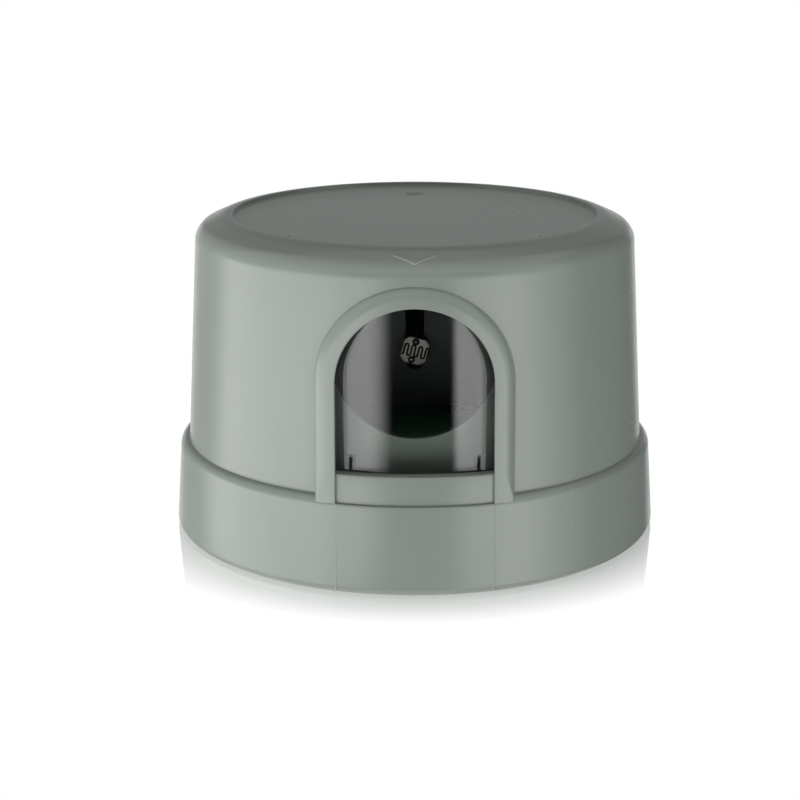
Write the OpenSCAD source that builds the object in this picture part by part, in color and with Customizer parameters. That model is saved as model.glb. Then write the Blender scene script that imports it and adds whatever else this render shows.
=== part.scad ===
// Photocell switch: a plug-in light sensor that sits on top of a street light.
// Millimetres. The rim of the skirt stands on z = 0, z points up and the window faces -y.

/* [Cover] */
// Outer radius of the skirt at the rim
skirt_r = 42.2; // [38:0.1:46]
// Draft angle of the skirt and of the arch frame above it
skirt_draft = 3.9; // [1:0.1:6]
// Rounding of the outer edge of the rim
rim_round = 0.5; // [0.2:0.1:1]
// Height of the shoulder above the rim
shoulder_z = 15.6; // [13:0.1:20]
// Rounding of the outer edge of the shoulder
shoulder_round = 1.4; // [0.5:0.1:2]
// Width of the shoulder step between the skirt and the cap
shoulder_w = 1.45; // [1.4:0.05:2.5]
// Draft angle of the cap wall
cap_draft = 3.2; // [1:0.1:6]
// Height from the rim to the highest edge of the crown
height = 55; // [50:0.5:65]
// Rounding between the cap wall and the crown
crown_round = 3.4; // [1:0.1:5]
// Rise of the crown towards the middle, in degrees
crown_slope = 5; // [1:0.5:8]
// Radius of the recessed disc on top
disc_r = 31.3; // [25:0.1:33]
// Depth of the recessed disc
disc_depth = 0.6; // [0.2:0.1:1.2]
// Radius of the moulding mark on the disc
mark_r = 1.5; // [0.5:0.1:3]
// Depth of the moulding mark
mark_depth = 0.3; // [0.1:0.05:0.5]
// Distance of the moulding mark behind the middle of the disc
mark_y = 26.5; // [0:0.5:28]
// Wall thickness of the skirt and the cap
wall = 2; // [1.5:0.1:2.5]
// Thickness of the roof under the disc
roof = 2.2; // [1.5:0.1:3]

/* [Window] */
// Height of the centre of the arch
arch_z = 33.5; // [30:0.1:36]
// Half the width of the window opening
arch_inner = 12.55; // [9:0.1:14]
// Width of the arch frame around the opening
arch_rim = 3.3; // [2:0.05:4]
// Height of the upper edge of the sill
sill_z = 19.35; // [18.5:0.05:24]
// Height of the foot of the sill on the skirt
sill_foot = 14.7; // [14.2:0.1:15]
// Depth of the face of the sill behind the arch frame
sill_set = 0.7; // [0.3:0.05:1]
// Depth of the lens behind the cap wall
lens_set = 1.05; // [0.9:0.05:1.5]
// Thickness of the lens
lens_t = 1.5; // [1:0.1:2]
// Overlap of the lens behind the arch frame
lens_lap = 1.4; // [0.8:0.1:2]
// Overlap of the lens behind the sill
lens_foot = 1.7; // [1.5:0.1:1.8]
// Distance of the tongue slits in the lens from the middle
slit_x = 10.1; // [6:0.1:11]
// Width of the tongue slits
slit_w = 0.5; // [0.3:0.1:1]
// Height of the tongue above the sill
slit_h = 2.4; // [1:0.05:3]
// Height of the snap ridge on the tongue
ridge_h = 0.3; // [0.2:0.05:0.5]

/* [Base] */
// Height of the underside of the base floor
floor_z = 15.5; // [15:0.1:16]
// Thickness of the base floor
floor_t = 2; // [1.5:0.1:2.2]
// Thickness of the flange under the shoulder
flange_t = 1.9; // [1.2:0.1:2.5]
// Wall thickness of the spigot
spigot_t = 2.2; // [1.5:0.1:3]
// Height of the collar that stands on the base floor
collar_h = 18.5; // [16:0.5:22]
// Wall thickness of the collar
collar_t = 1.2; // [0.8:0.1:2]
// Room between the collar and the lens, in which the tongue can bend
collar_room = 3.1; // [1:0.1:3.2]
// Radius of the round notch in the collar behind the window
notch_r = 13.9; // [10:0.1:15]
// Height of the lowest point of the notch above the sill
notch_low = 4.3; // [3:0.05:8]
// Overlap of the snap bead in the skirt under the flange
bead_lap = 0.4; // [0.2:0.1:0.8]
// Height of the board above the base floor
post_h = 4; // [3:0.1:6]
// Radius of the board posts
post_r = 3; // [2.5:0.1:4]
// Distance of the post centres inside the edge of the board
post_edge = 5; // [4:0.5:6]
// Gap between the gasket and the spigot around it
gasket_edge = 2.1; // [0.5:0.1:4]
// Width of the gasket ring
gasket_w = 9; // [5:0.5:10]
// Thickness of the gasket
gasket_t = 2.3; // [1.5:0.1:3]

/* [Blades] */
// Radius of the circle that the blades follow
blade_ring = 17; // [15:0.5:18]
// Thickness of the blades
blade_t = 1.6; // [1.2:0.1:2]
// Width of the line and load blades
blade_w = 10; // [8:0.5:11]
// Width of the neutral blade
neutral_w = 13; // [11.5:0.5:14]
// Extra width of the locking hook
hook_w = 3; // [2:0.5:4]
// Height of the locking hook
hook_h = 5; // [3:0.5:7]
// Clearance of the blade tips above the rim
tip_gap = 0.6; // [0.3:0.1:2]
// Width of the blade tail that passes through the board
tail_w = 6; // [4:0.5:8]
// Inner end of the fixing lug, from the middle
lug_in = 8; // [7:0.5:9]
// Width of the fixing lug
lug_w = 5; // [4.5:0.1:5.5]
// Radius of the eyelet tube
eyelet_r = 1.5; // [1:0.1:2]
// Radius of the eyelet flange
eyelet_flange_r = 2.5; // [2.2:0.1:3]
// Thickness of the eyelet flange and tube
eyelet_t = 0.45; // [0.3:0.05:0.7]

/* [Board] */
// Room between the edge of the circuit board and the outside of the spigot
board_edge = 6.3; // [4:0.1:7]
// Thickness of the circuit board
board_t = 1.6; // [1:0.1:2]
// Radius of the board screw shank
screw_r = 1.1; // [0.8:0.1:1.4]
// Radius of the board screw head
screw_head_r = 2.3; // [1.8:0.1:2.8]
// Height of the board screw head
screw_head_h = 1.6; // [1:0.1:2]
// Depth of the board screw in its post
screw_grip = 3; // [2:0.1:3.5]
// Diameter of the component leads
lead_d = 0.7; // [0.5:0.05:0.9]
// Length of the leads under the board
lead_out = 1.2; // [0.8:0.1:2]
// Bend radius of the axial leads
lead_bend = 1; // [0.8:0.1:1.2]

/* [Components] */
// Relay length, width and height
relay_size = [19, 15.4, 15.3];
// Film capacitor width, length and height
film_size = [7, 18, 13.5];
// Radius of the electrolytic capacitor
can_r = 4; // [2.5:0.5:4]
// Height of the electrolytic capacitor
can_h = 12; // [8:0.5:16]
// Radius of the varistor disc
varistor_r = 5; // [3.5:0.5:5]
// Thickness of the varistor disc
varistor_t = 4; // [2.5:0.1:4.5]
// Radius of the rectifier diodes
diode_r = 1.35; // [1:0.05:1.6]
// Length of the rectifier diodes
diode_l = 5.2; // [4:0.1:5.5]
// Radius of the zener diode
zener_r = 0.95; // [0.7:0.05:1.3]
// Length of the zener diode
zener_l = 4; // [3:0.1:5]
// Radius of the resistors
resistor_r = 1.2; // [0.8:0.05:1.5]
// Length of the resistors
resistor_l = 6.4; // [4:0.1:6.8]
// Radius of the transistor body
transistor_r = 2.35; // [2:0.05:2.5]
// Height of the transistor body
transistor_h = 4.7; // [4:0.1:5]

/* [Sensor] */
// Front face of the sensor plate, in front of the middle
plate_y = 11; // [9:0.5:14]
// Width of the sensor plate
plate_w = 28; // [16:0.5:30]
// Thickness of the sensor plate
plate_t = 2; // [1.5:0.1:2.5]
// Height of the top of the sensor plate above the rim
plate_top = 46; // [42:0.5:50]
// Width of the lead slot in the sensor plate
plate_slot = 3.1; // [2.5:0.1:4]
// Depth of the foot of the sensor plate on the board
plate_foot = 4.5; // [3:0.5:5]
// Radius of the pegs under the foot
peg_r = 1; // [0.8:0.1:1.2]
// Height of the middle of the photocell above the rim
cell_z = 33; // [31:0.1:35]
// Diameter of the photocell
cell_d = 5.1; // [4.5:0.1:6]
// Width of the photocell across its flats
cell_flats = 4.3; // [4:0.1:5]
// Thickness of the photocell
cell_t = 2; // [1.5:0.1:2.5]
// Turn of the photocell on the plate, in degrees
cell_turn = 14; // [-30:1:30]
// Distance between the photocell leads
cell_pitch = 3.4; // [2.5:0.1:3.6]
// Diameter of the photocell leads
cell_lead_d = 0.5; // [0.4:0.05:0.6]

/* [Clearances] */
// Gap around the edge of the lens in its pocket
lens_gap = 0.15; // [0.05:0.05:0.3]
// Gap between the base and the cover wall
base_gap = 0.25; // [0.1:0.05:0.4]
// Gap between the flange and the snap bead
bead_gap = 0.1; // [0.05:0.05:0.2]
// Gap around the blade tails and eyelets
blade_gap = 0.1; // [0.05:0.05:0.2]
// Gap between the wide stem of a blade and the base, where only the lug is clamped
stem_gap = 0.3; // [0.2:0.05:0.5]
// Gap around the leads and pegs in the board
lead_gap = 0.1; // [0.05:0.05:0.2]
// Gap around the screw shanks in the board
screw_gap = 0.2; // [0.1:0.05:0.3]

/* [Hidden] */
$fn = 96;
far = 60;
tiny = 0.01;
// Roundings stand out by this much, so that they cross their walls instead of only touching them
proud = 0.005;
cap_r = skirt_at(shoulder_z) - shoulder_w;
shelf_z = shoulder_z - wall;
ceil_z = height - disc_depth - roof;
disc_z = height - disc_depth;
arch_outer = arch_inner + arch_rim;
floor_top = floor_z + floor_t;
flange_z = shelf_z - flange_t;
board_z = floor_top + post_h;
board_top = board_z + board_t;
lead_z = board_z - lead_out;
lens_half = arch_inner + lens_lap;
lens_z = sill_z - lens_foot;
tongue_top = sill_z + slit_h;
ridge_z = lens_z + 0.4;
ridge_r = lens_at(ridge_z + 0.4);
ridge_arc = 2 * (asin((slit_x - slit_w / 2) / ridge_r) - 1);
flange_r = skirt_at(shelf_z) - wall - base_gap;
spigot_r = cap_at(floor_top) - wall - base_gap;
collar_r = lens_at(arch_z) - lens_t - collar_room;
collar_top = floor_top + collar_h;
notch_z = sill_z + notch_low + notch_r;
bead_z = flange_z - bead_gap;
gasket_r = spigot_r - spigot_t - gasket_edge;
gasket_bore = gasket_r - gasket_w;
board_r = spigot_r - board_edge;
post_ring = board_r - post_edge;
post_angles = [90, 210, 330];
blade_angles = [60, 180, 300];
eyelet_x = (lug_in + blade_ring - blade_t / 2) / 2 - 0.2;
// Places of the components on the board, which spread out with its radius
spread = board_r / 31;
relay_at = spread * [-5, 8.5];
film_at = spread * [16.5, 5];
can_at = spread * [-21.5, 10.5];
varistor_at = spread * [-24, -3];
transistor_at = spread * [-18.5, -6.5];
diodes_at = spread * [[-12, 19.5], [-12, 23.5], [12, 19.5], [12, 23.5]];
diode_span = 10;
zener_at = spread * [25, -3];
zener_span = 8;
resistors_at = spread * [[6.2, 5.5], [8.8, 5.5], [11.4, 5.5]];
resistor_span = 11;
cell_wire_y = [-7, -5.6];
peg_x = plate_w / 2 - 2.5;
peg_y = plate_t - plate_y + plate_foot / 2;

// Centres and ends of the roundings in the outline of the cover
rim_c = [skirt_at(rim_round) - rim_round / cos(skirt_draft), rim_round];
rim_e = rim_c + rim_round * [cos(skirt_draft), sin(skirt_draft)];
shoulder_cz = shoulder_z - shoulder_round;
shoulder_c = [skirt_at(shoulder_cz) - shoulder_round / cos(skirt_draft), shoulder_cz];
shoulder_e = shoulder_c + shoulder_round * [cos(skirt_draft), sin(skirt_draft)];
cap_foot = cap_r + shoulder_z * tan(cap_draft);
crown_lift = height + tan(crown_slope) * disc_r - crown_round / cos(crown_slope);
crown_off = cap_foot - tan(cap_draft) * crown_lift - crown_round / cos(cap_draft);
crown_cr = crown_off / (1 - tan(cap_draft) * tan(crown_slope));
crown_c = [crown_cr, crown_lift - tan(crown_slope) * crown_cr];
crown_low = crown_c + crown_round * [cos(cap_draft), sin(cap_draft)];
crown_high = crown_c + crown_round * [sin(crown_slope), cos(crown_slope)];

// Outer radius of the skirt cone and of the cap cone at a height
function skirt_at(z) = skirt_r - z * tan(skirt_draft);
function cap_at(z) = cap_r - (z - shoulder_z) * tan(cap_draft);
function lens_at(z) = cap_at(z) - lens_set;

// Arch-shaped bar that runs from the middle out through the front
module arch_bar(half, low) {
    translate([0, 0, arch_z]) rotate([90, 0, 0]) cylinder(r = half, h = far);
    translate([-half, -far, low]) cube([2 * half, far, arch_z - low]);
}

// Half outline of the skirt cone, carried up to the full height
module cone_outline() {
    polygon([[0, 0], [rim_c.x, 0], rim_c, rim_e, [skirt_at(height), height], [0, height]]);
    translate(rim_c) circle(r = rim_round);
}

// Half outline of the space around the shoulder, the cap and the crown
module outside_outline() {
    difference() {
        polygon([shoulder_e, [far, shoulder_e.y], [far, far], [0, far], [0, disc_z], [disc_r, disc_z],
            [disc_r, height], crown_high, crown_c, crown_low, [cap_r, shoulder_z],
            [shoulder_c.x, shoulder_z], shoulder_c]);
        translate(shoulder_c) circle(r = shoulder_round + proud);
        translate(crown_c) circle(r = crown_round + proud);
    }
}

// Half outline of the space in front of the sill
module sill_outline() {
    polygon([[skirt_at(sill_foot) - sill_set, sill_foot], [far, sill_foot], [far, far],
        [skirt_at(far) - sill_set, far]]);
}

// Half outline of the hollow inside the cover
module hollow_outline() {
    polygon([[0, -1], [skirt_at(-1) - wall, -1], [skirt_at(shelf_z) - wall, shelf_z],
        [cap_at(shelf_z) - wall, shelf_z], [cap_at(ceil_z) - wall, ceil_z], [0, ceil_z]]);
}

// Half outline of the bead that the base flange snaps over
module bead_outline() {
    polygon([[skirt_at(bead_z - 1.2) - wall + 0.3, bead_z - 1.2], [flange_r - bead_lap, bead_z - 0.3],
        [flange_r - bead_lap, bead_z], [skirt_at(bead_z) - wall + 0.3, bead_z]]);
}

// Ridge on the tongue of the lens, which snaps into a groove behind the sill
module tongue_ridge(gap) {
    arc = ridge_arc + 8 * gap;
    rotate([0, 0, -90 - arc / 2]) rotate_extrude(angle = arc)
        polygon([[ridge_r - 0.5, ridge_z - gap], [ridge_r + gap, ridge_z - gap],
            [ridge_r + ridge_h + gap, ridge_z + 0.25 - gap], [ridge_r + ridge_h + gap, ridge_z + 0.55 + gap],
            [ridge_r + gap, ridge_z + 0.8 + gap], [ridge_r - 0.5, ridge_z + 0.8 + gap]]);
}

// Solid inside the face of the lens, which slopes like the cap wall
module lens_cone(inset) {
    low = -1 - inset;
    rotate_extrude() polygon([[0, low], [lens_at(low) - inset, low], [lens_at(far) - inset, far], [0, far]]);
}

module cover() {
    color([0.62, 0.65, 0.60]) {
        difference() {
            rotate_extrude() cone_outline();
            difference() {
                rotate_extrude() outside_outline();
                arch_bar(arch_outer, 0);
            }
            intersection() {
                rotate_extrude() sill_outline();
                arch_bar(arch_inner, sill_foot);
            }
            arch_bar(arch_inner, sill_z);
            rotate_extrude() hollow_outline();
            intersection() {
                lens_cone(0);
                arch_bar(lens_half + lens_gap, lens_z - lens_gap);
            }
            tongue_ridge(lens_gap);
            translate([0, mark_y, disc_z - mark_depth]) cylinder(r = mark_r, h = far);
        }
        rotate_extrude() bead_outline();
    }
}

module window_lens() {
    color([0.80, 0.83, 0.82]) {
        difference() {
            intersection() {
                lens_cone(0);
                arch_bar(lens_half, lens_z);
            }
            lens_cone(lens_t);
            for (side = [-1, 1])
                translate([side * slit_x - slit_w / 2, -far, 0]) cube([slit_w, far, tongue_top]);
        }
        tongue_ridge(0);
    }
}

// Tube that the blades are cut from
module blade_tube(low, high, gap) {
    translate([0, 0, low]) difference() {
        cylinder(r = blade_ring + blade_t / 2 + gap, h = high - low);
        translate([0, 0, -1]) cylinder(r = blade_ring - blade_t / 2 - gap, h = high - low + 2);
    }
}

// Side view of a blade: hook at the tip, stem and tail
module blade_outline(width) {
    hook_top = tip_gap + hook_h;
    stem_top = floor_z - stem_gap;
    tail_top = board_top + lead_out;
    polygon([[-width / 2, tip_gap], [width / 2 + hook_w, tip_gap], [width / 2 + hook_w, hook_top],
        [width / 2, hook_top], [width / 2, stem_top], [tail_w / 2, stem_top], [tail_w / 2, tail_top],
        [-tail_w / 2, tail_top], [-tail_w / 2, stem_top], [-width / 2, stem_top]]);
}

// One blade with its fixing lug, on the +x side
module blade(width) {
    difference() {
        union() {
            intersection() {
                blade_tube(0, board_top + lead_out + 1, 0);
                rotate([90, 0, 90]) linear_extrude(far) blade_outline(width);
            }
            translate([lug_in, -lug_w / 2, floor_z - blade_t])
                cube([blade_ring - lug_in - 0.4, lug_w, blade_t]);
        }
        translate([eyelet_x, 0, 0]) cylinder(r = eyelet_r + blade_gap, h = far);
    }
}

// Slots for the blade tails
module tail_slots(low, high) {
    half = tail_w / 2 + blade_gap;
    for (turn = blade_angles)
        rotate([0, 0, turn]) intersection() {
            blade_tube(low, high, blade_gap);
            translate([0, -half, low]) cube([far, 2 * half, high - low]);
        }
}

module blade_line() {
    color([0.83, 0.69, 0.36]) rotate([0, 0, blade_angles[0]]) blade(blade_w);
}

module blade_load() {
    color([0.83, 0.69, 0.36]) rotate([0, 0, blade_angles[1]]) blade(blade_w);
}

module blade_neutral() {
    color([0.83, 0.69, 0.36]) rotate([0, 0, blade_angles[2]]) blade(neutral_w);
}

module blade_eyelets() {
    low = floor_z - blade_t;
    color([0.83, 0.69, 0.36]) for (turn = blade_angles) rotate([0, 0, turn]) translate([eyelet_x, 0, 0])
        difference() {
            union() {
                translate([0, 0, low - eyelet_t]) cylinder(r = eyelet_flange_r, h = eyelet_t);
                translate([0, 0, low - tiny]) cylinder(r = eyelet_r, h = floor_top - low + 2 * tiny);
                translate([0, 0, floor_top]) cylinder(r = eyelet_flange_r, h = eyelet_t);
            }
            cylinder(r = eyelet_r - eyelet_t, h = far);
        }
}

// Ring wall on the base floor with the light notch behind the window
module collar() {
    low = floor_top - tiny;
    difference() {
        translate([0, 0, low]) cylinder(r = collar_r, h = collar_top - low);
        translate([0, 0, low - 1]) cylinder(r = collar_r - collar_t, h = far);
        translate([0, 0, notch_z]) rotate([90, 0, 0]) cylinder(r = notch_r, h = far);
    }
}

module base() {
    color([0.62, 0.65, 0.60]) difference() {
        union() {
            rotate_extrude() polygon([[0, floor_z], [spigot_r - spigot_t, floor_z],
                [spigot_r - spigot_t, flange_z], [flange_r, flange_z], [flange_r, shelf_z],
                [spigot_r, shelf_z], [spigot_r, floor_top], [0, floor_top]]);
            collar();
            for (turn = post_angles)
                rotate([0, 0, turn]) translate([post_ring, 0, floor_top - tiny])
                    cylinder(r = post_r, h = post_h + tiny);
        }
        for (turn = post_angles)
            rotate([0, 0, turn]) translate([post_ring, 0, board_z - screw_grip])
                cylinder(r = screw_r, h = far);
        for (turn = blade_angles)
            rotate([0, 0, turn]) translate([eyelet_x, 0, 0]) cylinder(r = eyelet_r + blade_gap, h = far);
        tail_slots(floor_z - 1, floor_top + 1);
    }
}

module gasket() {
    color([0.10, 0.10, 0.10]) translate([0, 0, floor_z - gasket_t]) difference() {
        cylinder(r = gasket_r, h = gasket_t);
        translate([0, 0, -1]) cylinder(r = gasket_bore, h = gasket_t + 2);
    }
}

// Upright pin through the board
module pin(x, y, d, top) {
    translate([x, y, lead_z]) cylinder(d = d, h = top - lead_z);
}

module relay_pins(d, top) {
    translate(relay_at) {
        for (x = [-7.5, 7.5], y = [-6, 6]) pin(x, y, d, top);
        pin(-7.5, 0, d, top);
    }
}

module film_pins(d, top) {
    translate(film_at) for (y = [-7.5, 7.5]) pin(0, y, d, top);
}

module can_pins(d, top) {
    translate(can_at) for (y = [-1.75, 1.75]) pin(0, y, d, top);
}

module varistor_pins(d, top) {
    translate(varistor_at) for (y = [-3.75, 3.75]) pin(0, y, d, top);
}

module transistor_pins(d, top) {
    translate(transistor_at) for (y = [-1.27, 0, 1.27]) pin(0, y, d, top);
}

module axial_pins(span, d, top) {
    for (x = [-span / 2, span / 2]) pin(x, 0, d, top);
}

// Holes in the board for every lead
module lead_holes() {
    d = lead_d + 2 * lead_gap;
    relay_pins(d, far);
    film_pins(d, far);
    can_pins(d, far);
    varistor_pins(d, far);
    transistor_pins(d, far);
    for (at = diodes_at) translate(at) axial_pins(diode_span, d, far);
    for (at = resistors_at) translate(at) rotate([0, 0, 90]) axial_pins(resistor_span, d, far);
    translate(zener_at) rotate([0, 0, 90]) axial_pins(zener_span, d, far);
    for (i = [0, 1]) translate([cell_wire_x(i), cell_wire_y[i], 0]) pin(0, 0, cell_lead_d + 2 * lead_gap, far);
    for (x = [-peg_x, peg_x]) pin(x, peg_y, 2 * (peg_r + lead_gap), far);
}

module circuit_board() {
    color([0.12, 0.24, 0.17]) difference() {
        translate([0, 0, board_z]) cylinder(r = board_r, h = board_t);
        lead_holes();
        tail_slots(board_z - 1, board_top + 1);
        for (turn = post_angles)
            rotate([0, 0, turn]) translate([post_ring, 0, 0]) cylinder(r = screw_r + screw_gap, h = far);
    }
}

module board_screws() {
    color([0.75, 0.75, 0.75]) for (turn = post_angles)
        rotate([0, 0, turn]) translate([post_ring, 0, board_top]) {
            translate([0, 0, board_z - board_top - screw_grip])
                cylinder(r = screw_r, h = board_t + screw_grip + tiny);
            cylinder(r = screw_head_r, h = screw_head_h);
        }
}

module relay() {
    color([0.13, 0.25, 0.45]) {
        translate([relay_at.x, relay_at.y, board_top + relay_size.z / 2]) cube(relay_size, center = true);
        relay_pins(lead_d, board_top + 1);
    }
}

module film_capacitor() {
    color([0.72, 0.62, 0.20]) {
        translate([film_at.x, film_at.y, board_top + film_size.z / 2]) cube(film_size, center = true);
        film_pins(lead_d, board_top + 1);
    }
}

module electrolytic_capacitor() {
    color([0.10, 0.11, 0.14]) {
        translate([can_at.x, can_at.y, board_top]) difference() {
            cylinder(r = can_r, h = can_h);
            translate([0, 0, 1.6]) rotate_extrude() translate([can_r + 0.2, 0]) circle(r = 0.6);
        }
        can_pins(lead_d, board_top + 1);
    }
}

module varistor() {
    color([0.16, 0.35, 0.62]) {
        translate([varistor_at.x, varistor_at.y, board_top + 1 + varistor_r]) rotate([0, 90, 0])
            cylinder(r = varistor_r, h = varistor_t, center = true);
        varistor_pins(lead_d, board_top + 1 + varistor_r);
    }
}

// Part with wire ends that lies on the board, along x
module axial_part(radius, length, span) {
    mid = board_top + radius;
    flat = span / 2 - lead_bend;
    translate([-length / 2, 0, mid]) rotate([0, 90, 0]) cylinder(r = radius, h = length);
    translate([-flat, 0, mid]) rotate([0, 90, 0]) cylinder(d = lead_d, h = 2 * flat);
    for (turn = [0, 180]) rotate([0, 0, turn]) {
        translate([flat, 0, mid - lead_bend]) rotate([90, 0, 0]) rotate_extrude(angle = 90)
            translate([lead_bend, 0]) circle(d = lead_d);
        pin(span / 2, 0, lead_d, mid - lead_bend);
    }
}

module rectifier_diodes() {
    color([0.12, 0.12, 0.12]) for (at = diodes_at) translate(at) axial_part(diode_r, diode_l, diode_span);
}

module zener_diode() {
    color([0.72, 0.36, 0.16]) translate(zener_at) rotate([0, 0, 90])
        axial_part(zener_r, zener_l, zener_span);
}

module resistors() {
    color([0.78, 0.68, 0.50]) for (at = resistors_at)
        translate(at) rotate([0, 0, 90]) axial_part(resistor_r, resistor_l, resistor_span);
}

module transistor() {
    color([0.12, 0.12, 0.12]) {
        translate([transistor_at.x, transistor_at.y, board_top + 2]) difference() {
            cylinder(r = transistor_r, h = transistor_h);
            translate([1.2, -far / 2, -1]) cube([far, far, far]);
        }
        transistor_pins(0.5, board_top + 3);
    }
}

module sensor_plate() {
    slot_r = plate_slot / 2;
    slot_z = cell_z - cell_d / 2 - 1.1 + slot_r;
    color([0.20, 0.21, 0.20]) {
        difference() {
            union() {
                translate([-plate_w / 2, -plate_y, board_top])
                    cube([plate_w, plate_t, plate_top - board_top]);
                for (x = [-peg_x, peg_x])
                    translate([x - 2.5, plate_t - plate_y - tiny, board_top])
                        cube([5, plate_foot + tiny, 2]);
            }
            translate([-slot_r, -plate_y - 1, slot_z]) cube([plate_slot, plate_t + 2, far]);
            translate([0, -plate_y - 1, slot_z]) rotate([-90, 0, 0]) cylinder(r = slot_r, h = plate_t + 2);
        }
        for (x = [-peg_x, peg_x]) pin(x, peg_y, 2 * peg_r, board_top + 1);
    }
}

module photocell() {
    color([0.80, 0.72, 0.70]) translate([0, -plate_y, cell_z]) rotate([0, cell_turn, 0])
        intersection() {
            rotate([90, 0, 0]) cylinder(d = cell_d, h = cell_t);
            translate([-cell_flats / 2, -cell_t - 1, -cell_d]) cube([cell_flats, cell_t + 2, 2 * cell_d]);
        }
}

// Sideways place and height of the two photocell leads
function cell_wire_x(i) = (i - 0.5) * cell_pitch * sin(cell_turn);
function cell_wire_z(i) = cell_z + (i - 0.5) * cell_pitch * cos(cell_turn);

module photocell_leads() {
    color([0.75, 0.75, 0.75]) for (i = [0, 1]) {
        back = cell_wire_y[i] - lead_bend;
        translate([cell_wire_x(i), 0, 0]) {
            translate([0, -plate_y, cell_wire_z(i)]) rotate([-90, 0, 0])
                cylinder(d = cell_lead_d, h = back + plate_y);
            translate([0, back, cell_wire_z(i) - lead_bend]) rotate([0, 0, 90]) rotate([90, 0, 0])
                rotate_extrude(angle = 90) translate([lead_bend, 0]) circle(d = cell_lead_d);
            pin(0, cell_wire_y[i], cell_lead_d, cell_wire_z(i) - lead_bend);
        }
    }
}

cover();
window_lens();
base();
gasket();
blade_line();
blade_load();
blade_neutral();
blade_eyelets();
circuit_board();
board_screws();
relay();
film_capacitor();
electrolytic_capacitor();
varistor();
rectifier_diodes();
zener_diode();
resistors();
transistor();
sensor_plate();
photocell();
photocell_leads();
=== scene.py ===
"""Looks of the photocell switch: materials, visual pieces and a studio round the CAD frame."""

import math

import bmesh
import bpy
from bpy.props import FloatProperty, FloatVectorProperty, IntProperty, PointerProperty
from mathutils import Matrix, Vector


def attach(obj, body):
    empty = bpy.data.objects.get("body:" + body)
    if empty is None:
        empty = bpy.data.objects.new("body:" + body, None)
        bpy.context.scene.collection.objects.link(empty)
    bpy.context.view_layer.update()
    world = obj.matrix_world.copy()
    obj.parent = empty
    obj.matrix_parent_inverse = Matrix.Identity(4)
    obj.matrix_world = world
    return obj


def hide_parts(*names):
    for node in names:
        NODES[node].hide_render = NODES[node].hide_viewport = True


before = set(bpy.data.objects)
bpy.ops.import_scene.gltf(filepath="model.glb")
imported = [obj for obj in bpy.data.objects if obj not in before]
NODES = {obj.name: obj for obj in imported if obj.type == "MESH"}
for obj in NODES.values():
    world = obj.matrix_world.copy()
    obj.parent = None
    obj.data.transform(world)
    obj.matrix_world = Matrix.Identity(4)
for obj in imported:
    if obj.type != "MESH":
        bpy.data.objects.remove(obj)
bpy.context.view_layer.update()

bl_info = {
    "name": "Photocell switch looks",
    "version": (1, 0, 0),
    "blender": (4, 5, 0),
    "location": "View3D > Sidebar > Photocell",
    "description": "Materials, visual pieces and studio of a photocell switch",
    "category": "Object",
}


# ---------------------------------------------------------------- settings

def colour(name, text, value):
    return FloatVectorProperty(name=name, description=text, subtype="COLOR", size=3,
                               min=0.0, max=1.0, default=value)


def length(name, text, value):
    return FloatProperty(name=name, description=text, unit="LENGTH", default=value)


def amount(name, text, value):
    return FloatProperty(name=name, description=text, default=value)


class PhotocellCover(bpy.types.PropertyGroup):
    """Sizes and colours of the moulded cover."""
    tint: colour("Plastic", "Colour of the moulded cover", (0.335, 0.375, 0.335))
    roughness: FloatProperty(name="Roughness", description="Roughness of the satin plastic",
                             subtype="FACTOR", default=0.26)
    frame_round: length("Frame rounding", "Width of the frame's rounded outer side", 0.0019)
    frame_depth: length("Frame depth", "Height of the frame's rounded outer side", 0.0013)
    inner_edge: length("Inner edge", "Rounding of the inner edge of the arch frame", 0.00022)
    frame_crown: length("Frame crown", "Drop of the frame's face towards the window", 0.0001)
    sign: length("Signs", "Height of the raised signs on top", 0.00025)
    steps: IntProperty(name="Steps", description="Steps of the turned body", default=256)
    grain: length("Grain", "Height of the fine moulding grain", 0.00001)


class PhotocellWindow(bpy.types.PropertyGroup):
    """Colours of the lens and the light sensor behind it."""
    tint: colour("Lens", "Tint of the clear lens", (0.86, 0.89, 0.87))
    cell: colour("Ceramic", "Colour of the light sensor", (0.74, 0.655, 0.635))
    track: colour("Track", "Colour of the sensor track", (0.005, 0.0045, 0.0045))
    plate: colour("Plate", "Colour of the sensor plate", (0.035, 0.04, 0.036))


class PhotocellInside(bpy.types.PropertyGroup):
    """Colours of the base, the blades and the parts on the board."""
    base: colour("Base", "Colour of the moulded base", (0.12, 0.135, 0.12))
    rubber: colour("Gasket", "Colour of the sealing ring", (0.018, 0.018, 0.017))
    brass: colour("Brass", "Colour of the blades", (0.72, 0.53, 0.22))
    board: colour("Board", "Colour of the solder mask", (0.012, 0.07, 0.03))
    relay: colour("Relay", "Colour of the relay case", (0.02, 0.07, 0.22))
    film: colour("Film capacitor", "Colour of the film capacitor", (0.55, 0.36, 0.04))
    sleeve: colour("Can", "Colour of the capacitor sleeve", (0.01, 0.012, 0.03))
    varistor: colour("Varistor", "Colour of the varistor coat", (0.02, 0.12, 0.4))
    resistor: colour("Resistor", "Colour of the resistor coat", (0.55, 0.42, 0.25))


class PhotocellStage(bpy.types.PropertyGroup):
    """Light and floor of the studio."""
    floor: length("Floor", "Radius of the floor", 0.112)
    sheen: amount("Sheen", "Strength of the floor's mirror image at the rim", 0.62)
    sheen_end: length("Sheen end", "Radius at which the mirror image has faded", 0.0542)
    left: amount("Left light", "Brightness of the left softbox", 2.75)
    right: amount("Right light", "Brightness of the right softbox", 2.75)
    back: amount("Back light", "Brightness of the low softbox behind the part", 1.1)
    fill: amount("Fill", "Even light from all sides", 0.28)


# ---------------------------------------------------------------- fixed sizes in metres, colours

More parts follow.
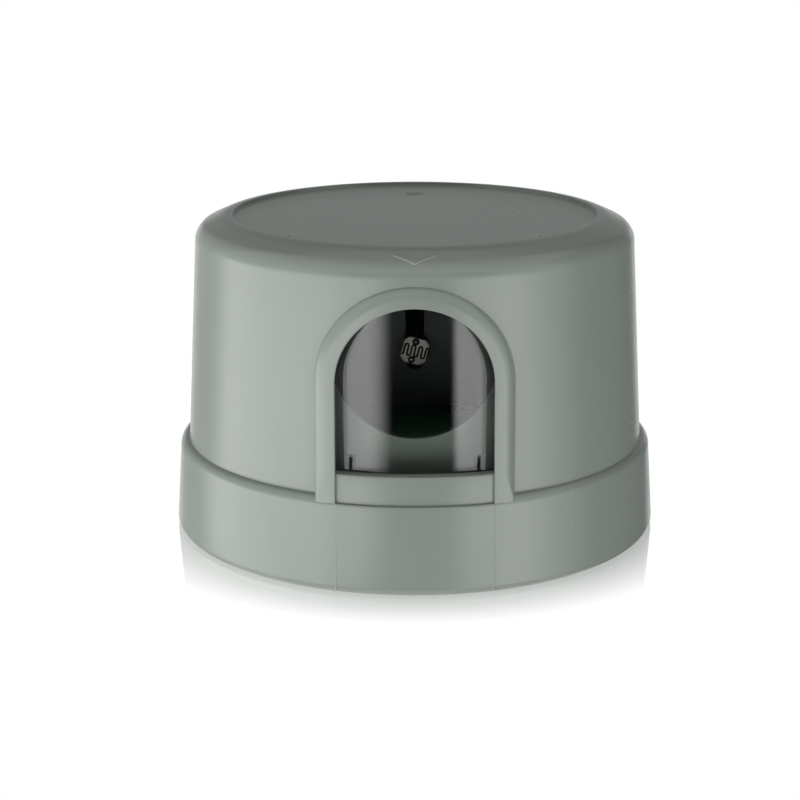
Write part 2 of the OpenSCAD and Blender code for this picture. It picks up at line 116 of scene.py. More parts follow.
# Skirt, shoulder and cap wall
SKIRT_R, SKIRT_DRAFT = 0.04218, math.tan(math.radians(3.9))
SHOULDER_Z, SHOULDER_W, CAP_DRAFT = 0.0156, 0.00145, math.tan(math.radians(3.2))
# Recessed disc and the round mark on it
HEIGHT, DISC_R, DISC_Z = 0.0545, 0.0313, 0.0539
MARK_Y, MARK_LOW, MARK_HIGH, MARK_H = 0.0215, 0.0013, 0.0019, 0.0008
# Narrow ring round the disc, slope outside it, centre, radius and start of the crown's rounding
RING_R, RING_Z, CROWN_SLOPE = 0.033, 0.05438, math.tan(math.radians(24.0))
CROWN_R, CROWN_Z, CROWN_ROUND, CROWN_START = 0.03472, 0.05033, 0.003, 0.03594
# Inside: wall, roof, gap round the base, and the snap bead with its ramp, lip and reach
WALL, ROOF_Z, BASE_GAP = 0.002, 0.0522, 0.00025
BEAD_Z, BEAD_RAMP, BEAD_LIP, BEAD_REACH = 0.0116, 0.0012, 0.0003, 0.0004
# Arch frame: centre, half widths inside, outside and of the opening; how far its sides go in
ARCH_Z, ARCH_IN, ARCH_OUT, ARCH_CUT = 0.0335, 0.01255, 0.01585, 0.014
FRAME_SUNK, FRAME_IN = 0.001, 0.0042
# The legs' outer rounding narrows to a share over this height above the foot
LEG_TAPER, LEG_SHARE = 0.0046, 0.15
# Bar that cuts the opening: its front end and its length
BAR_FRONT, BAR_LENGTH = -0.06, 0.035
# Lens behind the cap wall, gap in front of it, and the sill below it
LENS_SET, LENS_GAP = 0.00105, 0.00002
SILL_Z, SILL_FOOT, SILL_SET, SILL_SUNK, SILL_IN = 0.01935, 0.0147, 0.0007, 0.0002, 0.004
# Light sensor: place, diameter, thickness, width across flats, turn, edges of its pale face
CELL_Z, CELL_FACE, CELL_D, CELL_T, CELL_FLATS = 0.033, -0.013, 0.0051, 0.002, 0.0043
CELL_TURN, CELL_PALE_HALF, CELL_RIM = math.radians(14.0), 0.0022, 0.0002
# Its track and the tops of its leads, with the rings round them
TRACK_T, TIP_R, TIP_RING = 0.00003, 0.00029, 0.0006
TIPS = ((-0.00018, -0.00157), (-0.00018, 0.00157))
# Heights inside: start of the blades' ends painted dark as shade, board, feet of raised parts, top
# of the can
BLADE_TAIL, BOARD_LOW, BOARD_TOP = 0.0215, 0.02152, 0.0231
VARISTOR_FOOT, TRANSISTOR_FOOT, CAN_TOP = 0.0243, 0.0251, 0.03505
# Softboxes: front of the window that they are aimed at, distance, lower and upper edge
SOFTBOX_AIM, SOFTBOX_FAR, SOFTBOX_LOW, SOFTBOX_HIGH = -0.0376, 0.5, -0.24, 0.03

WHITE, BLACK = (1.0, 1.0, 1.0, 1.0), (0.02, 0.02, 0.02)
TIN, LEAD_TIN, ZINC = (0.6, 0.6, 0.58), (0.62, 0.62, 0.6), (0.55, 0.55, 0.53)
# TAIL_SHADE is painted shade: near-black for the blades' upper ends inside the body
LAMINATE, TAIL_SHADE = (0.35, 0.3, 0.16), (0.012, 0.012, 0.011)

# Distances at which vertices count as one, or as lying on a ring
MERGE, MERGE_WIDE, MERGE_FINE, NEAR = 1e-7, 1e-6, 1e-8, 2e-5
UP, FRONT, CENTRE = (0, 0, 1), (0, -1, 0), (0, 0, 0)


# ---------------------------------------------------------------- materials

def link(tree, source, socket):
    tree.links.new(source, socket)


def node(tree, kind, values=None, **settings):
    made = tree.nodes.new(kind)
    for name, value in settings.items():
        setattr(made, name, value)
    for name, value in (values or {}).items():
        made.inputs[name].default_value = value
    return made


def empty_tree(owner):
    """Node tree of a material, world or light, with nothing in it."""
    owner.use_nodes = True
    owner.node_tree.nodes.clear()
    return owner.node_tree


def feed(tree, value, socket):
    """Links an output to a socket, or writes a number or colour on it."""
    if isinstance(value, bpy.types.NodeSocket):
        link(tree, value, socket)
    else:
        socket.default_value = value


def compute(tree, operation, first, second=0.0):
    """Output of a math node."""
    made = node(tree, "ShaderNodeMath", operation=operation)
    feed(tree, first, made.inputs[0])
    feed(tree, second, made.inputs[1])
    return made.outputs[0]


def mix_colours(tree, share, first, second):
    """Output of a colour mix; its sockets share their names, so they go by number."""
    made = node(tree, "ShaderNodeMix", data_type="RGBA")
    for index, value in ((0, share), (6, first), (7, second)):
        feed(tree, value, made.inputs[index])
    return made.outputs[2]


def mix_shaders(tree, share, first, second):
    """Output of a mix of two shaders."""
    made = node(tree, "ShaderNodeMixShader")
    for socket, source in zip(made.inputs, (share, first, second)):
        link(tree, source, socket)
    return made.outputs[0]


def grain_group():
    """Fine grain and broad tone shift that all moulded and coated surfaces share."""
    found = bpy.data.node_groups.get("surface_grain")
    if found:
        return found
    tree = bpy.data.node_groups.new("surface_grain", "ShaderNodeTree")
    tree.interface.new_socket("Vector", in_out="INPUT", socket_type="NodeSocketVector")
    for name, value in (("Grain Scale", 2500.0), ("Tone Scale", 60.0)):
        socket = tree.interface.new_socket(name, in_out="INPUT", socket_type="NodeSocketFloat")
        socket.default_value = value
    for name in ("Height", "Tone"):
        tree.interface.new_socket(name, in_out="OUTPUT", socket_type="NodeSocketFloat")
    start, end = tree.nodes.new("NodeGroupInput"), tree.nodes.new("NodeGroupOutput")
    fine = node(tree, "ShaderNodeTexNoise", {"Detail": 3.0, "Roughness": 0.6})
    broad = node(tree, "ShaderNodeTexNoise", {"Detail": 4.0, "Roughness": 0.55})
    for made, scale, result in ((fine, "Grain Scale", "Height"), (broad, "Tone Scale", "Tone")):
        link(tree, start.outputs["Vector"], made.inputs["Vector"])
        link(tree, start.outputs[scale], made.inputs["Scale"])
        link(tree, made.outputs["Fac"], end.inputs[result])
    return tree


def scaled(tint, factor):
    return tuple(min(1.0, c * factor) for c in tint) + (1.0,)


class Finish:
    """One material: a Principled shader over the shared grain."""

    def __init__(self, name, tint, spread=0.06, roughness=0.4, rough_spread=0.06, bump=0.00001,
                 grain=2500.0, tone=60.0, **sockets):
        self.material = bpy.data.materials.new(name)
        self.tree = tree = empty_tree(self.material)
        self.out = node(tree, "ShaderNodeOutputMaterial")
        self.shader = node(tree, "ShaderNodeBsdfPrincipled", sockets)
        link(tree, self.shader.outputs["BSDF"], self.out.inputs["Surface"])
        self.place = node(tree, "ShaderNodeTexCoord")
        surface = node(tree, "ShaderNodeGroup", node_tree=grain_group())
        surface.inputs["Grain Scale"].default_value = grain
        surface.inputs["Tone Scale"].default_value = tone
        link(tree, self.place.outputs["Object"], surface.inputs["Vector"])
        self.colour = mix_colours(tree, surface.outputs["Tone"],
                                  scaled(tint, 1.0 - spread), scaled(tint, 1.0 + spread))
        link(tree, self.colour, self.shader.inputs["Base Color"])
        rough = node(tree, "ShaderNodeMapRange", {"To Min": max(0.0, roughness - rough_spread),
                                                  "To Max": roughness + rough_spread})
        link(tree, surface.outputs["Tone"], rough.inputs["Value"])
        link(tree, rough.outputs["Result"], self.shader.inputs["Roughness"])
        relief = node(tree, "ShaderNodeBump", {"Strength": 0.5, "Distance": bump})
        link(tree, surface.outputs["Height"], relief.inputs["Height"])
        link(tree, relief.outputs["Normal"], self.shader.inputs["Normal"])

    def axis(self, name):
        """One object coordinate."""
        split = node(self.tree, "ShaderNodeSeparateXYZ")
        link(self.tree, self.place.outputs["Object"], split.inputs["Vector"])
        return split.outputs[name]

    def math(self, operation, first, second=0.0):
        return compute(self.tree, operation, first, second)

    def between(self, value, low, high):
        """Mask that is 1 where the value lies between two limits."""
        above = self.math("GREATER_THAN", value, low)
        below = self.math("LESS_THAN", value, high)
        return self.math("MULTIPLY", above, below)

    def paint(self, mask, tint):
        """Lays a colour over the base colour where the mask is 1."""
        self.colour = mix_colours(self.tree, mask, self.colour, tuple(tint) + (1.0,))
        link(self.tree, self.colour, self.shader.inputs["Base Color"])

    def metal(self, mask):
        """Bare tinned metal where the mask is 1."""
        self.paint(mask, TIN)
        link(self.tree, mask, self.shader.inputs["Metallic"])

    def wear(self, *names):
        """Puts the material on CAD nodes."""
        for name in names:
            NODES[name].data.materials[0] = self.material


# ---------------------------------------------------------------- mesh helpers

def skirt_at(z):
    return SKIRT_R - z * SKIRT_DRAFT


def cap_at(z):
    return skirt_at(SHOULDER_Z) - SHOULDER_W - (z - SHOULDER_Z) * CAP_DRAFT


def crown_at(r):
    """Height of the sloped crown and its rounding."""
    if r < CROWN_START:
        return RING_Z - (r - RING_R) * CROWN_SLOPE
    return CROWN_Z + math.sqrt(CROWN_ROUND ** 2 - (r - CROWN_R) ** 2)


def lens_at(z):
    return cap_at(z) - LENS_SET


def sill_at(z):
    return skirt_at(z) - SILL_SET


def chain(bm, points):
    """A row of vertices joined by edges."""
    verts = [bm.verts.new(p) for p in points]
    edges = [bm.edges.new(pair) for pair in zip(verts, verts[1:])]
    return verts, edges


def swing(bm, geom, centre, axis, angle, steps, close=False):
    """Leads a row of edges round an axis and returns its last place."""
    return bmesh.ops.spin(bm, geom=geom, cent=centre, axis=axis, angle=angle, steps=steps,
                          use_merge=close, use_duplicate=False)["geom_last"]


def sweep(bm, geom, shift, steps):
    """Leads a row of edges along a straight line and returns its last place."""
    return bmesh.ops.spin(bm, geom=geom, cent=CENTRE, axis=UP, angle=0.0, steps=steps,
                          dvec=Vector(shift) / steps, use_duplicate=False)["geom_last"]


def extrude(bm, faces, shift):
    """Makes a solid of flat faces."""
    grown = bmesh.ops.extrude_face_region(bm, geom=list(faces))["geom"]
    verts = [v for v in grown if isinstance(v, bmesh.types.BMVert)]
    bmesh.ops.translate(bm, vec=shift, verts=verts)


def raise_up(bm, height):
    """Thickens a flat sign upwards."""
    extrude(bm, bm.faces, (0, 0, height))
    bmesh.ops.recalc_face_normals(bm, faces=bm.faces)


def turn(bm, points, steps):
    """Turns a half outline of (radius, height), from the z axis to the z axis, into a solid."""
    verts, edges = chain(bm, [(r, 0.0, z) for r, z in points])
    swing(bm, verts + edges, CENTRE, UP, 2 * math.pi, steps, close=True)
    bmesh.ops.remove_doubles(bm, verts=bm.verts, dist=MERGE)
    bmesh.ops.recalc_face_normals(bm, faces=bm.faces)


def edges_where(bm, test):
    """Edges whose two ends pass a test."""
    return [e for e in bm.edges if all(test(v.co) for v in e.verts)]


def ring_edges(bm, radius, z):
    """Edges of the turned ring at a radius and height."""
    return edges_where(bm, lambda p: abs(math.hypot(p.x, p.y) - radius) < NEAR
                       and abs(p.z - z) < NEAR)


def round_edges(bm, edges, offset, segments):
    bmesh.ops.bevel(bm, geom=list(edges), offset=offset, offset_type="OFFSET", segments=segments,
                    profile=0.5, affect="EDGES", material=-1, clamp_overlap=True)


def wrap(bm, radius_at, floor_at=None):
    """Bends a flat piece, whose depth is y, round the body, with y = 0 on the given cone."""
    for v in bm.verts:
        r = radius_at(v.co.z) - v.co.y
        if floor_at:
            r = max(r, floor_at(v.co.z) + LENS_GAP)
        v.co.y = -math.sqrt(r * r - v.co.x * v.co.x)


def face_front(bm):
    """Turns an open sheet so that it faces the front."""
    bmesh.ops.recalc_face_normals(bm, faces=bm.faces)
    bm.normal_update()
    if sum(f.normal.y * f.calc_area() for f in bm.faces) > 0:
        bmesh.ops.reverse_faces(bm, faces=bm.faces)


def join(bm, other):
    """Adds another mesh to bm and frees it."""
    mesh = bpy.data.meshes.new("part")
    other.to_mesh(mesh)
    other.free()
    bm.from_mesh(mesh)
    bpy.data.meshes.remove(mesh)


def cut_away(bm, cutter):
    """Cuts the solid cutter out of the solid bm."""
    pair = []
    for name, source in (("cut_body", bm), ("cut_tool", cutter)):
        mesh = bpy.data.meshes.new(name)
        source.to_mesh(mesh)
        pair.append(bpy.data.objects.new(name, mesh))
        bpy.context.scene.collection.objects.link(pair[-1])
    cutter.free()
    cut = pair[0].modifiers.new("cut", "BOOLEAN")
    cut.operation, cut.solver, cut.object = "DIFFERENCE", "EXACT", pair[1]
    bpy.context.view_layer.update()
    graph = bpy.context.evaluated_depsgraph_get()
    result = bpy.data.meshes.new_from_object(pair[0].evaluated_get(graph))
    bm.clear()
    bm.from_mesh(result)
    for made in pair:
        mesh = made.data
        bpy.data.objects.remove(made)
        bpy.data.meshes.remove(mesh)
    bpy.data.meshes.remove(result)
    if not bm.faces:
        raise RuntimeError("the cut left nothing")


def arch_bar(half, low):
    """Solid bar with the outline of the arch, through the front wall."""
    bm = bmesh.new()
    corners = ((half, ARCH_Z), (half, low), (-half, low), (-half, ARCH_Z))
    verts, _ = chain(bm, [(x, BAR_FRONT, z) for x, z in corners])
    swing(bm, verts[:1], (0, 0, ARCH_Z), FRONT, math.pi, 64)
    bmesh.ops.remove_doubles(bm, verts=bm.verts, dist=MERGE_WIDE)
    face = bmesh.ops.contextual_create(bm, geom=list(bm.edges))["faces"]
    extrude(bm, face, (0, BAR_LENGTH, 0))
    bmesh.ops.recalc_face_normals(bm, faces=bm.faces)
    return bm


def add_object(name, bm, material):
    """Makes the object of a mesh, with one material."""
    mesh = bpy.data.meshes.new(name)
    bm.to_mesh(mesh)
    bm.free()
    mesh.materials.append(material)
    made = bpy.data.objects.new(name, mesh)
    bpy.context.scene.collection.objects.link(made)
    return made


def piece(name, bm, finish, slot, *replaced):
    """Makes a piece of the part: sharp edges over 30 degrees, level many-sided faces flat."""
    made = add_object(name, bm, finish.material)
    mesh = made.data
    mesh.shade_smooth()
    mesh.set_sharp_from_angle(angle=math.radians(30.0))
    for face in mesh.polygons:
        face.use_smooth = len(face.vertices) < 5 or abs(face.normal.z) < 0.999
    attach(made, "root")
    if replaced:
        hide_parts(*replaced)


class PhotocellOperator:
    """What the operators of this file share."""
    bl_options = {"REGISTER"}

    def execute(self, context):
        self.make(context.scene)
        return {"FINISHED"}


# ---------------------------------------------------------------- cover

class PHOTOCELL_OT_cover(PhotocellOperator, bpy.types.Operator):
    """Build the moulded cover with its arch frame, sill and signs"""
    bl_idname = "photocell.cover"
    bl_label = "Cover"

    def make(self, scene):
        look = scene.photocell_cover
        bm = self.body(look)
        join(bm, self.arch_frame(look))
        join(bm, self.sill())
        for side in (-1, 1):
            join(bm, self.witness_line(side))
            join(bm, self.turn_arrow(side, look))
            join(bm, self.chevron(side, look))
        finish = Finish("cover_satin", look.tint, spread=0.035, roughness=look.roughness,
                        bump=look.grain, tone=45.0)
        piece("cover_shell", bm, finish, "cover_plastic", "cover")

    def body(self, look):
        """Skirt, shoulder, cap and crown as one turned shell, opened for the window."""
        shoulder_r, shelf_z = skirt_at(SHOULDER_Z), SHOULDER_Z - WALL
        rise = RING_Z + RING_R * CROWN_SLOPE - SHOULDER_Z
        crown_r = (shoulder_r - SHOULDER_W - rise * CAP_DRAFT) / (1 - CROWN_SLOPE * CAP_DRAFT)
        crown_z = RING_Z - (crown_r - RING_R) * CROWN_SLOPE
        bead_r = skirt_at(shelf_z) - WALL - BASE_GAP - BEAD_REACH
        top, foot, count = crown_z - 0.0024, SHOULDER_Z + 0.0006, 46
        levels = [top + (foot - top) * i / count for i in range(count + 1)]
        outside = [(0.0, DISC_Z), (DISC_R, DISC_Z), (DISC_R, HEIGHT), (RING_R, RING_Z),
                   (crown_r, crown_z), *((cap_at(z), z) for z in levels),
                   (cap_at(SHOULDER_Z), SHOULDER_Z), (shoulder_r, SHOULDER_Z), (SKIRT_R, 0.0)]
        inside = [(SKIRT_R - WALL, 0.0),
                  (skirt_at(BEAD_Z - BEAD_RAMP) - WALL, BEAD_Z - BEAD_RAMP),
                  (bead_r, BEAD_Z - BEAD_LIP), (bead_r, BEAD_Z),
                  (skirt_at(BEAD_Z) - WALL, BEAD_Z), (skirt_at(shelf_z) - WALL, shelf_z),
                  (cap_at(shelf_z) - WALL, shelf_z), (cap_at(ROOF_Z) - WALL, ROOF_Z),
                  (0.0, ROOF_Z)]
        bm = bmesh.new()
        turn(bm, outside + inside, look.steps)
        for radius, z, offset, segments in (
                (crown_r, crown_z, 0.00183, 10), (RING_R, RING_Z, 0.0009, 5),
                (shoulder_r, SHOULDER_Z, 0.00131, 8), (SKIRT_R, 0.0, 0.0014, 7),
                (cap_at(SHOULDER_Z), SHOULDER_Z, 0.0001, 2),
                (DISC_R, HEIGHT, 0.00015, 3), (DISC_R, DISC_Z, 0.0001, 2)):
            round_edges(bm, ring_edges(bm, radius, z), offset, segments)
        middle = [v for v in bm.verts if v.co.xy.length < MERGE_WIDE]
        bmesh.ops.dissolve_verts(bm, verts=middle)
        cut_away(bm, arch_bar(ARCH_CUT, SILL_FOOT))
        round_edges(bm, self.foot_edges(bm), 0.0003, 3)
        mark = bmesh.new()
        bmesh.ops.create_cone(mark, cap_ends=True, segments=48, radius1=MARK_LOW,
                              radius2=MARK_HIGH, depth=MARK_H,
                              matrix=Matrix.Translation((0.0, MARK_Y, DISC_Z)))
        cut_away(bm, mark)
        return bm

    def foot_edges(self, bm):
        """Upper edge of the skirt below the sill."""
        return edges_where(bm, lambda p: p.y < 0 and abs(p.z - SILL_FOOT) < MERGE_WIDE
                           and abs(p.xy.length - skirt_at(SILL_FOOT)) < 3e-4)

    def arch_frame(self, look):
        """Raised frame: one section led over the arch and down both legs, on the skirt's cone."""
        broad, deep, edge = look.frame_round, look.frame_depth, look.inner_edge
        arc = [math.radians(9.0 * i) for i in range(11)]
        section = [(ARCH_OUT, deep + FRAME_SUNK)]
        section += [(ARCH_OUT - broad * (1 - math.cos(a)), deep * (1 - math.sin(a))) for a in arc]
        section += [(ARCH_IN + edge * (1 - math.sin(a)),
                     look.frame_crown + edge * (1 - math.cos(a))) for a in arc]
        section += [(ARCH_IN, FRAME_IN)]
        bm = bmesh.new()
        verts, edges = chain(bm, [(x, y, ARCH_Z) for x, y in section])
        over = swing(bm, verts + edges, (0, 0, ARCH_Z), FRONT, math.pi, 72)
        for ends in (verts + edges, over):
            sweep(bm, ends, (0, 0, SILL_FOOT - ARCH_Z), 20)
        bmesh.ops.remove_doubles(bm, verts=bm.verts, dist=MERGE)
        for v in bm.verts:
            inset, share = ARCH_OUT - abs(v.co.x), (v.co.z - SILL_FOOT) / LEG_TAPER
            if share < 1.0 and inset < broad + MERGE_WIDE:
                v.co.x = math.copysign(ARCH_OUT - inset * max(share, LEG_SHARE), v.co.x)
        wrap(bm, skirt_at, lens_at)
        face_front(bm)
        return bm

    def sill(self):
        """Panel below the window, set back a little from the frame and the skirt."""
        half = ARCH_IN + SILL_SUNK
        bm = bmesh.new()
        verts, edges = chain(bm, [(-half, 0.0, SILL_FOOT), (-half, 0.0, SILL_Z),
                                  (-half, SILL_IN, SILL_Z)])
        sweep(bm, verts + edges, (2 * half, 0, 0), 50)
        upper = edges_where(bm, lambda p: abs(p.y) < MERGE_WIDE and abs(p.z - SILL_Z) < MERGE_WIDE)
        round_edges(bm, upper, 0.0003, 4)
        wrap(bm, sill_at, lens_at)
        face_front(bm)
        return bm

    def witness_line(self, side):
        """Fine moulding line on the skirt below each leg."""
        x, foot, top, sunk, proud, low = side * ARCH_IN, 0.0002, 0.00005, 0.0001, 0.00005, 0.0006
        bm = bmesh.new()
        verts, edges = chain(bm, [(x - foot, sunk, low), (x - top, -proud, low),
                                  (x + top, -proud, low), (x + foot, sunk, low)])
        sweep(bm, verts + edges, (0, 0, SILL_FOOT - 0.0007), 12)
        wrap(bm, skirt_at)
        face_front(bm)
        return bm

    def turn_arrow(self, side, look):
        """Curved arrow on the disc that shows which way to turn."""
        ring, half, barb, sunk = 0.02995, 0.00028, 0.000896, 0.0001
        first, last, tip = (math.radians(side * a - 90.0) for a in (31.0, 44.0, 48.5))

        def at(radius, angle):
            return (radius * math.cos(angle), radius * math.sin(angle), DISC_Z - sunk)
        bm = bmesh.new()
        verts, edges = chain(bm, [at(ring - half, first), at(ring + half, first)])
        swing(bm, verts + edges, CENTRE, UP, last - first, 20)
        head, _ = chain(bm, [at(ring - barb, last), at(ring, tip), at(ring + barb, last)])
        bmesh.ops.contextual_create(bm, geom=head)
        raise_up(bm, sunk + look.sign)
        return bm

    def chevron(self, side, look):
        """Half of the chevron, drawn flat as x, radius and height, then laid on the crown."""
        wide, high, low, half, sunk = 0.0034, 0.0346, 0.03645, 0.00025, 0.00008
        bm = bmesh.new()
        verts, edges = chain(bm, [(0.0, low - half, -sunk), (0.0, low + half, -sunk)])
        sweep(bm, verts + edges, (side * wide, high - low, 0), 12)
        raise_up(bm, sunk + look.sign / 2)
        for v in bm.verts:
            x, r, rise = v.co
            v.co = (x, -math.sqrt(r * r - x * x), crown_at(r) + rise)
        bmesh.ops.recalc_face_normals(bm, faces=bm.faces)
        return bm


# ---------------------------------------------------------------- window

class PHOTOCELL_OT_window(PhotocellOperator, bpy.types.Operator):
    """Finish the lens and the sensor plate and build the light sensor"""
    bl_idname = "photocell.window"
    bl_label = "Window"

    def make(self, scene):
        look = scene.photocell_window
        self.lens(look)
        Finish("plate_dark", look.plate, roughness=0.5, spread=0.12).wear("sensor_plate")
        self.cell(look)
        leads = Finish("lead_tin", LEAD_TIN, roughness=0.3, bump=0.000004, Metallic=1.0)
        leads.wear("photocell_leads")

    def lens(self, look):
        """Clear plastic that lets light through to what is behind it."""
        finish = Finish("lens_clear", look.tint, spread=0.015, roughness=0.03, rough_spread=0.015,
                        bump=0.000001, grain=900.0, tone=160.0,
                        **{"Transmission Weight": 1.0, "IOR": 1.49})
        tree = finish.tree
        shadow = node(tree, "ShaderNodeLightPath").outputs["Is Shadow Ray"]
        clear = node(tree, "ShaderNodeBsdfTransparent", {"Color": (0.84, 0.87, 0.85, 1.0)})
        both = mix_shaders(tree, shadow, finish.shader.outputs["BSDF"], clear.outputs["BSDF"])
        link(tree, both, finish.out.inputs["Surface"])
        finish.wear("window_lens")

    def cell(self, look):
        """Light sensor: a disc with two flats, its winding track and the tops of its two leads."""
        ceramic = Finish("cell_ceramic", look.cell, roughness=0.3, spread=0.08, tone=700.0)
        across = ceramic.math("MULTIPLY", ceramic.axis("X"), math.sin(CELL_TURN))
        height = ceramic.math("SUBTRACT", ceramic.axis("Z"), CELL_Z)
        up = ceramic.math("MULTIPLY", height, math.cos(CELL_TURN))
        off_middle = ceramic.math("ABSOLUTE", ceramic.math("ADD", across, up))
        # Darker bands above and below the pale face of the sensor, measured across its turn
        ceramic.paint(ceramic.math("GREATER_THAN", off_middle, CELL_PALE_HALF), look.track)
        behind = ceramic.math("GREATER_THAN", ceramic.axis("Y"), CELL_FACE + CELL_RIM)
        ceramic.paint(behind, look.track)
        track = Finish("cell_track", look.track, roughness=0.6, spread=0.1, tone=900.0,
                       **{"Specular IOR Level": 0.1})
        tin = Finish("cell_tin", LEAD_TIN, roughness=0.25, bump=0.000003, Metallic=1.0)
        self.seat("cell_disc", self.cell_disc(), ceramic, "cell_ceramic", "photocell")
        self.seat("cell_track", self.cell_track(), track, "cell_ceramic")
        self.seat("cell_tips", self.cell_tips(), tin, "lead_tin")

    def seat(self, name, bm, finish, slot, *replaced):
        """Turns a piece that is drawn face up on the x-y plane to the front of the plate."""
        face = Matrix.Translation((0.0, CELL_FACE, CELL_Z)) @ Matrix.Rotation(CELL_TURN, 4, "Y")
        upright = Matrix.Rotation(math.pi / 2, 4, "X")
        bmesh.ops.transform(bm, matrix=face @ upright, verts=bm.verts)
        bmesh.ops.recalc_face_normals(bm, faces=bm.faces)
        piece(name, bm, finish, slot, *replaced)

    def cell_disc(self):
        bm = bmesh.new()
        bmesh.ops.create_cone(bm, cap_ends=True, segments=96, radius1=CELL_D / 2,
                              radius2=CELL_D / 2, depth=CELL_T,
                              matrix=Matrix.Translation((0, 0, -CELL_T / 2)))
        for side in (-1, 1):
            cut = bmesh.ops.bisect_plane(bm, geom=bm.verts[:] + bm.edges[:] + bm.faces[:],
                                         dist=MERGE_FINE, plane_co=(side * CELL_FLATS / 2, 0, 0),
                                         plane_no=(side, 0, 0), clear_outer=True)["geom_cut"]
            rim = [e for e in cut if isinstance(e, bmesh.types.BMEdge)]
            bmesh.ops.contextual_create(bm, geom=rim)
        round_edges(bm, edges_where(bm, lambda p: abs(p.z) < MERGE), 0.00012, 3)
        return bm

    def cell_track(self):
        """Track that winds across the face in seven strokes, with a ring round each lead."""
        count, pitch, half, reach, side = 7, 0.000595, 0.000155, 0.00066, 0.00209
        bend, first = pitch / 2, -(count - 1) / 2 * pitch
        begin, end = first - bend, first + (count - 1) * pitch + bend
        bm = bmesh.new()

        def stroke(ends, shift):
            return sweep(bm, ends, shift, 4)

        def curve(ends, x, y, angle):
            return swing(bm, ends, (x, y, 0), UP, angle, 10)
        verts, edges = chain(bm, [(-side, -reach - bend - half, 0.0),
                                  (-side, -reach - bend + half, 0.0)])
        ends = stroke(verts + edges, (begin + side, 0, 0))
        ends = curve(ends, begin, -reach, math.pi / 2)
        for i in range(count):
            way = 1 if i % 2 == 0 else -1
            ends = stroke(ends, (0, 2 * way * reach, 0))
            if i < count - 1:
                ends = curve(ends, first + (i + 0.5) * pitch, way * reach, -way * math.pi)
        ends = curve(ends, end, reach, -math.pi / 2)
        stroke(ends, (side - end, 0, 0))
        bmesh.ops.remove_doubles(bm, verts=bm.verts, dist=MERGE_FINE)
        for x, y in TIPS:
            bmesh.ops.create_circle(bm, cap_ends=True, segments=32, radius=TIP_RING,
                                    matrix=Matrix.Translation((x, y, 0.0)))
        extrude(bm, bm.faces, (0, 0, TRACK_T))
        return bm

    def cell_tips(self):
        bm = bmesh.new()
        flat = Matrix.Scale(0.5, 4, UP)
        for x, y in TIPS:
            bmesh.ops.create_uvsphere(bm, u_segments=24, v_segments=12, radius=TIP_R,
                                      matrix=Matrix.Translation((x, y, TRACK_T)) @ flat)
        return bm


# ---------------------------------------------------------------- base and board

class PHOTOCELL_OT_plug(PhotocellOperator, bpy.types.Operator):
    """Finish the base, the gasket, the blades and their eyelets"""
    bl_idname = "photocell.plug"
    bl_label = "Plug base"

    def make(self, scene):
        look = scene.photocell_inside
        Finish("base_satin", look.base, roughness=0.42, spread=0.04, tone=45.0).wear("base")
        rubber = Finish("gasket_rubber", look.rubber, roughness=0.75, spread=0.15, bump=0.00003,
                        grain=1200.0)
        rubber.wear("gasket")
        brass = Finish("blade_brass", look.brass, roughness=0.28, spread=0.08, bump=0.000006,
                       tone=220.0, Metallic=1.0)
        # Painted shade: above BLADE_TAIL the blades are near-black and not metal, standing in for
        # the shade inside the body
        tail = brass.math("GREATER_THAN", brass.axis("Z"), BLADE_TAIL)
        brass.paint(tail, TAIL_SHADE)
        link(brass.tree, brass.math("SUBTRACT", 1.0, tail), brass.shader.inputs["Metallic"])
        brass.wear("blade_line", "blade_load", "blade_neutral", "blade_eyelets")


class PHOTOCELL_OT_board(PhotocellOperator, bpy.types.Operator):
    """Finish the circuit board and the parts on it"""
    bl_idname = "photocell.board"
    bl_label = "Board"

    def make(self, scene):
        look = scene.photocell_inside
        board = Finish("board_mask", look.board, roughness=0.35, spread=0.15, tone=300.0)
        board.paint(board.between(board.axis("Z"), 0.0, BOARD_LOW), LAMINATE)
        board.wear("circuit_board")
        screws = Finish("screw_zinc", ZINC, roughness=0.32, bump=0.000005, Metallic=1.0)
        screws.wear("board_screws")
        self.cased("relay_blue", look.relay, "relay")
        self.cased("film_yellow", look.film, "film_capacitor")
        self.cased("can_sleeve", look.sleeve, "electrolytic_capacitor", bare_from=CAN_TOP)
        self.cased("varistor_blue", look.varistor, "varistor", VARISTOR_FOOT)
        self.cased("transistor_black", BLACK, "transistor", TRANSISTOR_FOOT)
        self.axial("diode_black", BLACK, 0.4, "rectifier_diodes", "X", 0.012, 0.0026,
                   ((0.0015, 0.0021, (0.5, 0.5, 0.5)),))
        self.axial("zener_orange", (0.5, 0.16, 0.04), 0.12, "zener_diode", "Y", 0.003, 0.0019,
                   ((0.001, 0.0014, (0.01, 0.01, 0.01)),))
        self.axial("resistor_beige", look.resistor, 0.35, "resistors", "Y", 0.0055, 0.0032,
                   ((-0.0022, -0.0016, (0.12, 0.03, 0.01)), (-0.001, -0.0004, (0.01, 0.01, 0.01)),
                    (0.0002, 0.0008, (0.35, 0.09, 0.01)), (0.0018, 0.0023, (0.45, 0.3, 0.06))))

    def cased(self, name, tint, target, foot=BOARD_TOP, bare_from=None):
        """Part in a case, with bare wires below its foot and, on the can, a bare top."""
        finish = Finish(name, tint, roughness=0.35, spread=0.1, tone=250.0)
        finish.metal(finish.between(finish.axis("Z"), 0.0, foot))
        if bare_from:
            finish.paint(finish.math("GREATER_THAN", finish.axis("Z"), bare_from), TIN)
        finish.wear(target)

    def axial(self, name, tint, roughness, target, axis, middle, half, bands):
        """Part that lies on the board: coloured bands round its body and bare wire ends."""
        finish = Finish(name, tint, roughness=roughness, spread=0.08)
        along = finish.math("SUBTRACT", finish.math("ABSOLUTE", finish.axis(axis)), middle)
        for low, high, band in bands:
            finish.paint(finish.between(along, low, high), band)
        finish.metal(finish.math("GREATER_THAN", finish.math("ABSOLUTE", along), half))
        finish.wear(target)


# ---------------------------------------------------------------- stage

